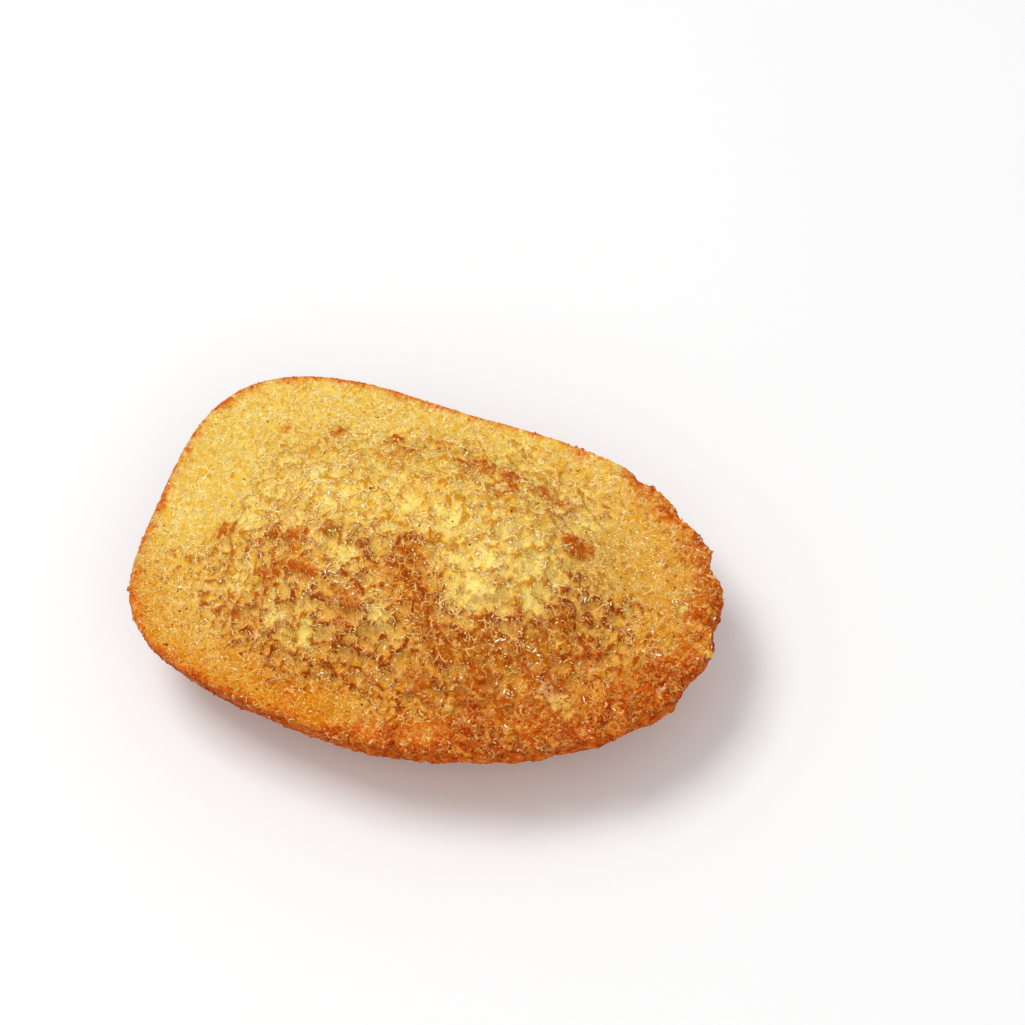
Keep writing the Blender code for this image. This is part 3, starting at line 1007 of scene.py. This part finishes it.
def bake_group(name):
    """Colour of baked sponge. Crumb turns honey or pale by its tone and baked by the warmth mask,
    which is partly painted shade. It turns amber in hollows and darker in pores and crevices, and
    browns more in crevices: painted shade, apart from the amber that the listed hollows have of
    their own. Browning, swung by the shade mottle, fleck and tone, takes it to toast and dark
    toast.
    Flecks are dark or light. Ridges and thin walls are painted light: partly their own dry pale
    colour, partly painted highlight.
    """
    colour_names = [socket_name(colour) for colour in BAKED_COLOURS]
    tree, given = new_group(name, {COLOUR: colour_names, NUMBER: BAKED_NUMBERS},
                            {COLOUR: ("Color",)})
    (browning, warmth_and_shade, hollow, pale, tone, shade, ridge, crevice, wall, pore, fleck,
     torn) = (given[number] for number in BAKED_NUMBERS)
    honey, amber, pale_crumb = given["Honey"], given["Amber"], given["Pale crumb"]
    dark_toast, crisp_glint = given["Dark toast"], given["Crisp glint"]

    crumb = mixed(tone.ranged(0.50, 0.12), given["Crumb"], honey)
    # The warmth mask takes the crumb to baked crumb: partly browning, partly painted shade.
    crumb = mixed(warmth_and_shade, crumb, given["Baked crumb"])
    pale = pale.math("ADD", tone.ranged(0.55, 0.95, 0.0, 0.6), clamp=True)
    crumb = mixed(pale * warmth_and_shade.ranged(0.1, 0.7, 1.0, 0.40), crumb, pale_crumb)
    # Hollows turn honey or amber and sunk places amber and darker: painted shade, apart from the
    # listed hollows' own amber.
    deep = mixed(warmth_and_shade.ranged(0.05, 0.65), honey, amber)
    crumb = mixed(hollow, crumb, deep)
    sunk = pore.greatest(crevice)
    crumb = mixed(sunk * 0.75, crumb, mixed(warmth_and_shade.ranged(0.0, 0.5, 0.4, 1.0), deep, amber))
    crumb = mixed(sunk * warmth_and_shade.ranged(0.1, 0.7, 0.3, 1.0), crumb, PAINTED_SHADE_TINT, "MULTIPLY")

    browned = browning * (shade * 2.2 + fleck * 3.0 - tone * 1.1 - 1.05)
    # Browning grows in crevices: painted shade.
    browned = browned + crevice * (browning * 0.8)
    toast = mixed(torn.ranged(0.2, 0.8, 0.0, 0.65), given["Toast"], amber)
    baked = mixed(browned.ranged(0.05, torn.ranged(0.2, 0.8, 0.65, 0.90)), crumb, toast)
    baked = mixed(browned.ranged(0.75, 1.5), baked, dark_toast)
    flaky = tone.ranged(0.80, 0.92) * (browning.ranged(0.2, 0.6) * 0.6)
    baked = mixed(flaky, baked, given["Flake"])

    grit = (browned.greatest(warmth_and_shade) * 0.40 + 0.36) * torn.ranged(0.2, 0.8, 1.0, 0.35)
    dark = mixed(browned.ranged(0.1, 0.9), amber, dark_toast)
    baked = mixed(fleck.ranged(0.48, 0.35) * grit, baked, dark)
    hot = browned.ranged(0.05, 0.6).greatest(warmth_and_shade) * torn.ranged(0.2, 0.8, 1.0, 0.8)
    lighter = mixed(0.45, baked, mixed(hot, pale_crumb, crisp_glint))
    light_grit = grit * browned.ranged(0.2, 0.8, 1.0, 0.45)
    baked = mixed(fleck.ranged(0.54, 0.64) * light_grit, baked, lighter)
    # Ridges are painted lighter: partly dry pale crumb, partly painted highlight.
    baked = mixed(ridge * browned.ranged(0.2, 0.8, 0.6, 0.42), baked, lighter)
    # Thin walls, dots and strokes take the glint colours: partly pale walls, partly painted glints.
    thin = wall * browned.ranged(0.1, 0.8, 1.0, 0.8) * hollow.ranged(0.3, 1.0, 1.0, 0.9)
    baked = mixed(thin, baked, mixed(hot, given["Glint"], crisp_glint))
    add_node(tree, "NodeGroupOutput", {"Color": baked})
    return tree


def new_material(name):
    """A material, its Principled shader and its place signal."""
    material = bpy.data.materials.new(name)
    material.use_nodes = True
    tree = material.node_tree
    place = Signal(add_node(tree, "ShaderNodeTexCoord"), "Object")
    return material, tree.nodes["Principled BSDF"], place


def sponge_material(name, cell, walls, bump, roughness, coat, scatter=0.0, torn_walls=False,
                    **swaps):
    """Moist sponge: baked colour from the masks, fine grain in bump, wet gloss on what stands up
    and light scattered inside. cell is the grain's scale, walls how far its thin walls show, and
    swaps puts one of the cake's colours in another's place.
    """
    material, shader, place = new_material(name)
    tree = place.tree
    masks = {mask: Signal(add_node(tree, "ShaderNodeAttribute", attribute_name=mask), "Fac")
             for mask in MASKS if mask != "dry"}
    torn, tone, crevice, ridge = (masks[mask] for mask in ("torn", "tone", "crevice", "ridge"))
    grain = placed_group(tree, grain_group, "Sponge grain",
                         {"Vector": place, "Cell": cell, "Line": 0.16})
    shade, height = grain["Shade"], grain["Height"]
    # Raised walls and dots, and the torn strokes below, take the glint colours: partly pale walls,
    # partly painted glints.
    raised = grain["Wall"].greatest(grain["Dot"]) * torn.ranged(0.2, 0.8, 1.0, 0.8)
    if torn_walls:
        strokes = placed_group(tree, stroke_group, "Torn walls", {"Vector": place})
        stroke = strokes["Stroke"] * torn.ranged(0.0, 1.0, 0.75, 1.0)
        raised = raised.greatest(stroke * 1.7)
        tone = tone + torn * 0.35 * (strokes["Tone"] - tone)
        # Pits are sunk in the bump and painted darker through the crevice mask: painted shade.
        pit = strokes["Pit"] * torn
        crevice = crevice.greatest(pit * 0.6)
        height = stroke * 1.5 + height - pit
    masks.update(tone=tone, crevice=crevice, shade=shade, pore=grain["Pore"], fleck=grain["Fleck"],
                 wall=raised.math("MULTIPLY", walls, clamp=True))
    colours = bpy.context.scene.cake_colours
    baked = placed_group(tree, bake_group, "Baked colour", {
        **{socket_name(colour): getattr(colours, swaps.get(colour, colour))
           for colour in BAKED_COLOURS},
        **{mask.capitalize(): signal for mask, signal in masks.items()}})
    relief = add_node(tree, "ShaderNodeBump", {"Strength": 1.0, "Distance": bump, "Height": height})
    wet = shade.ranged(0.51, 0.63) * (raised.greatest(ridge) * 0.97 + 0.03) * coat
    shader.subsurface_method = "BURLEY"
    set_inputs(shader, {
        "Base Color": baked["Color"], "Normal": Signal(relief), "Coat Weight": wet,
        "Roughness": shade.ranged(0.3, 0.7, *roughness), "Coat Roughness": 0.14,
        "Specular IOR Level": 0.02, "Subsurface Weight": scatter,
        "Subsurface Radius": (1.0, 0.88, 0.62), "Subsurface Scale": 0.5 * MM})
    return material


def speck_material():
    """Dull near-black brown, mottled by noise."""
    material, shader, place = new_material("dark_specks")
    brown = mixed(grey_noise(place, 5000.0, 2.0), (0.020, 0.008, 0.003, 1),
                  (0.10, 0.035, 0.012, 1))
    set_inputs(shader, {"Base Color": brown, "Roughness": 0.5, "Specular IOR Level": 0.1})
    return material


# ---------------------------------------------------------------- operators

class MADELEINE_OT_crumb_side(bpy.types.Operator):
    """Build the crumb side: margin, broken-open hump and the rim's rounded edge."""
    bl_idname = "madeleine.crumb_side"
    bl_label = "Crumb side"

    def execute(self, context):
        cake = context.scene.cake_shape
        material = sponge_material("moist_crumb", cell=1150.0, walls=0.50, bump=0.07 * MM,
                                   roughness=(0.35, 0.55), coat=0.45, scatter=0.55,
                                   torn_walls=True)
        closed_skin(cake, "crumb_side", *crumb_side(cake), material, upwards=True)
        return {"FINISHED"}


class MADELEINE_OT_shell_side(bpy.types.Operator):
    """Build the fluted, browned underside."""
    bl_idname = "madeleine.shell_side"
    bl_label = "Shell side"

    def execute(self, context):
        cake = context.scene.cake_shape
        material = sponge_material("fluted_crust", cell=1300.0, walls=0.30, bump=0.05 * MM,
                                   roughness=(0.40, 0.60), coat=0.3, scatter=0.3, flake="toast")
        closed_skin(cake, "shell_side", *shell_side(cake), material, upwards=False)
        return {"FINISHED"}


class MADELEINE_OT_torn_crumbs(bpy.types.Operator):
    """Scatter broken lumps, torn strands, and white flakes as painted glints, over the open hump.
    """
    bl_idname = "madeleine.torn_crumbs"
    bl_label = "Torn crumbs"

    def execute(self, context):
        draw = np.random.default_rng(701)
        skin = Skin("crumb_side")
        masks = skin.masks
        open_share = masks["torn"] * (1 - 0.9 * masks["hollow"]) ** 2
        moist = sponge_material("moist_lumps", cell=1500.0, walls=0.5, bump=0.08 * MM,
                                roughness=(0.30, 0.5), coat=0.6, scatter=0.6)
        strew("crumb_lumps", skin, open_share, draw, moist)
        dry = sponge_material("dry_strands", cell=1700.0, walls=0.3, bump=0.03 * MM,
                              roughness=(0.25, 0.42), coat=0.9)
        strew("torn_strands", skin, open_share + 0.25 * masks["browning"] + 0.06, draw, dry)
        # White flakes that are painted glints, on the places that the dry mask marks.
        white = sponge_material("dry_flakes", cell=1900.0, walls=0.6, bump=0.02 * MM,
                                roughness=(0.22, 0.4), coat=1.0, pale_crumb="sparkle")
        strew("dry_flakes", skin, 0.4 * masks["dry"] + 0.06 * open_share, draw, white)
        return {"FINISHED"}


class MADELEINE_OT_grains(bpy.types.Operator):
    """Scatter small pale grains over both sides, partly painted glints."""
    bl_idname = "madeleine.grains"
    bl_label = "Grains"

    def execute(self, context):
        draw = np.random.default_rng(702)
        # The grains take the glint colour as their pale: partly painted glints.
        glassy = sponge_material("pale_grains", cell=2200.0, walls=0.2, bump=0.02 * MM,
                                 roughness=(0.22, 0.40), coat=0.9, pale_crumb="glint")
        for name, side in (("crumb_grains", "crumb_side"), ("crust_grains", "shell_side")):
            skin = Skin(side)
            strew(name, skin, 1.0 - 0.4 * skin.masks["hollow"], draw, glassy)
        return {"FINISHED"}


class MADELEINE_OT_rim_crumbs(bpy.types.Operator):
    """Scatter browned crumbs along the crisp rim."""
    bl_idname = "madeleine.rim_crumbs"
    bl_label = "Rim crumbs"

    def execute(self, context):
        draw = np.random.default_rng(703)
        skin = Skin("crumb_side")
        crisp = smooth_step(0.35, 0.9, skin.masks["browning"]) * (1 - skin.masks["torn"])
        toasted = sponge_material("toasted_crumbs", cell=1600.0, walls=0.4, bump=0.06 * MM,
                                  roughness=(0.32, 0.5), coat=0.6)
        strew("rim_crumbs", skin, crisp * skin.masks["warmth_and_shade"] ** 1.5, draw, toasted)
        return {"FINISHED"}


class MADELEINE_OT_specks(bpy.types.Operator):
    """Scatter fine dark specks over both sides."""
    bl_idname = "madeleine.specks"
    bl_label = "Specks"

    def execute(self, context):
        draw = np.random.default_rng(704)
        dark = speck_material()
        for name, side in (("crumb_specks", "crumb_side"), ("crust_specks", "shell_side")):
            strew(name, Skin(side), 1.0, draw, dark)
        return {"FINISHED"}


FLOOR_REACH = 3.0
LIGHTS = {   # place, size and power
    "key": ((-0.22, 0.06, 0.58), 0.28, 2.15),
    "fill": ((0.40, -0.36, 0.42), 0.60, 1.15),
}
SKY_STRENGTH = 0.64
RIM_HEIGHT = 14.5 * MM


class MADELEINE_OT_stage(bpy.types.Operator):
    """Add the pale floor, soft studio lights and the camera."""
    bl_idname = "madeleine.stage"
    bl_label = "Stage"

    def execute(self, context):
        stage = context.scene.cake_stage
        corners = np.array([[-1, -1, 0], [1, -1, 0], [1, 1, 0], [-1, 1, 0]]) * FLOOR_REACH
        floor = make_mesh("floor", corners, [np.array([[0, 1, 2, 3]])])
        material, shader, _ = new_material("pale_floor")
        set_inputs(shader, {"Base Color": stage.floor, "Roughness": 0.7})
        floor.data.materials.append(material)
        for name, settings in LIGHTS.items():
            add_light(name, *settings)
        world = bpy.data.worlds.new("studio")
        world.use_nodes = True
        set_inputs(world.node_tree.nodes["Background"], ((1, 1, 1, 1), SKY_STRENGTH))
        context.scene.world = world
        context.scene.view_settings.view_transform = "Standard"
        add_camera(context.scene, stage)
        return {"FINISHED"}


def add_light(name, place, size, power):
    """A square area light at a place, facing the cake."""
    light = bpy.data.lights.new(name, "AREA")
    light.size = size
    light.energy = power
    lamp = bpy.data.objects.new(name, light)
    lamp.location = place
    lamp.rotation_euler = Vector(place).to_track_quat("Z", "Y").to_euler()
    bpy.context.scene.collection.objects.link(lamp)


def add_camera(scene, stage):
    """A long lens, looking down on the crumb side and rolled."""
    turn, tip, roll = stage.azimuth, stage.elevation, stage.roll
    back = Vector((math.sin(turn) * math.cos(tip), -math.cos(turn) * math.cos(tip), math.sin(tip)))
    level_right = Vector((math.cos(turn), math.sin(turn), 0))
    level_up = back.cross(level_right)
    right = level_right * math.cos(roll) - level_up * math.sin(roll)
    up = level_right * math.sin(roll) + level_up * math.cos(roll)
    place = Vector((0, 0, RIM_HEIGHT)) + back * stage.distance
    place += right * stage.aside[0] + up * stage.aside[1]
    camera = bpy.data.cameras.new("camera")
    camera.lens = stage.lens
    camera.sensor_width = 36
    camera.clip_start = 0.01
    view = bpy.data.objects.new("camera", camera)
    view.matrix_world = Matrix.Translation(place) @ Matrix((right, up, back)).transposed().to_4x4()
    scene.collection.objects.link(view)
    scene.camera = view


class MADELEINE_PT_panel(bpy.types.Panel):
    """Sizes, colours and the steps that build the cake."""
    bl_idname = "MADELEINE_PT_panel"
    bl_label = "Madeleine"
    bl_space_type = "VIEW_3D"
    bl_region_type = "UI"
    bl_category = "Madeleine"

    def draw(self, context):
        for settings in (context.scene.cake_shape, context.scene.cake_colours,
                         context.scene.cake_stage):
            box = self.layout.box()
            for name in settings.__annotations__:
                box.prop(settings, name)
        for operator in OPERATORS:
            self.layout.operator(operator.bl_idname)


OPERATORS = (
    MADELEINE_OT_crumb_side, MADELEINE_OT_shell_side, MADELEINE_OT_torn_crumbs,
    MADELEINE_OT_grains, MADELEINE_OT_rim_crumbs, MADELEINE_OT_specks, MADELEINE_OT_stage)
CLASSES = (CakeShape, CakeColours, StageSettings, *OPERATORS, MADELEINE_PT_panel)


def register():
    for each in CLASSES:
        bpy.utils.register_class(each)
    bpy.types.Scene.cake_shape = PointerProperty(type=CakeShape)
    bpy.types.Scene.cake_colours = PointerProperty(type=CakeColours)
    bpy.types.Scene.cake_stage = PointerProperty(type=StageSettings)


def unregister():
    del bpy.types.Scene.cake_stage
    del bpy.types.Scene.cake_colours
    del bpy.types.Scene.cake_shape
    for each in reversed(CLASSES):
        bpy.utils.unregister_class(each)


def main():
    register()
    for thing in ("Cube", "Light", "Camera"):
        if thing in bpy.data.objects:
            bpy.data.objects.remove(bpy.data.objects[thing])
    bpy.ops.madeleine.crumb_side()
    bpy.ops.madeleine.shell_side()
    bpy.ops.madeleine.torn_crumbs()
    bpy.ops.madeleine.grains()
    bpy.ops.madeleine.rim_crumbs()
    bpy.ops.madeleine.specks()
    bpy.ops.madeleine.stage()


if __name__ == "__main__":
    main()
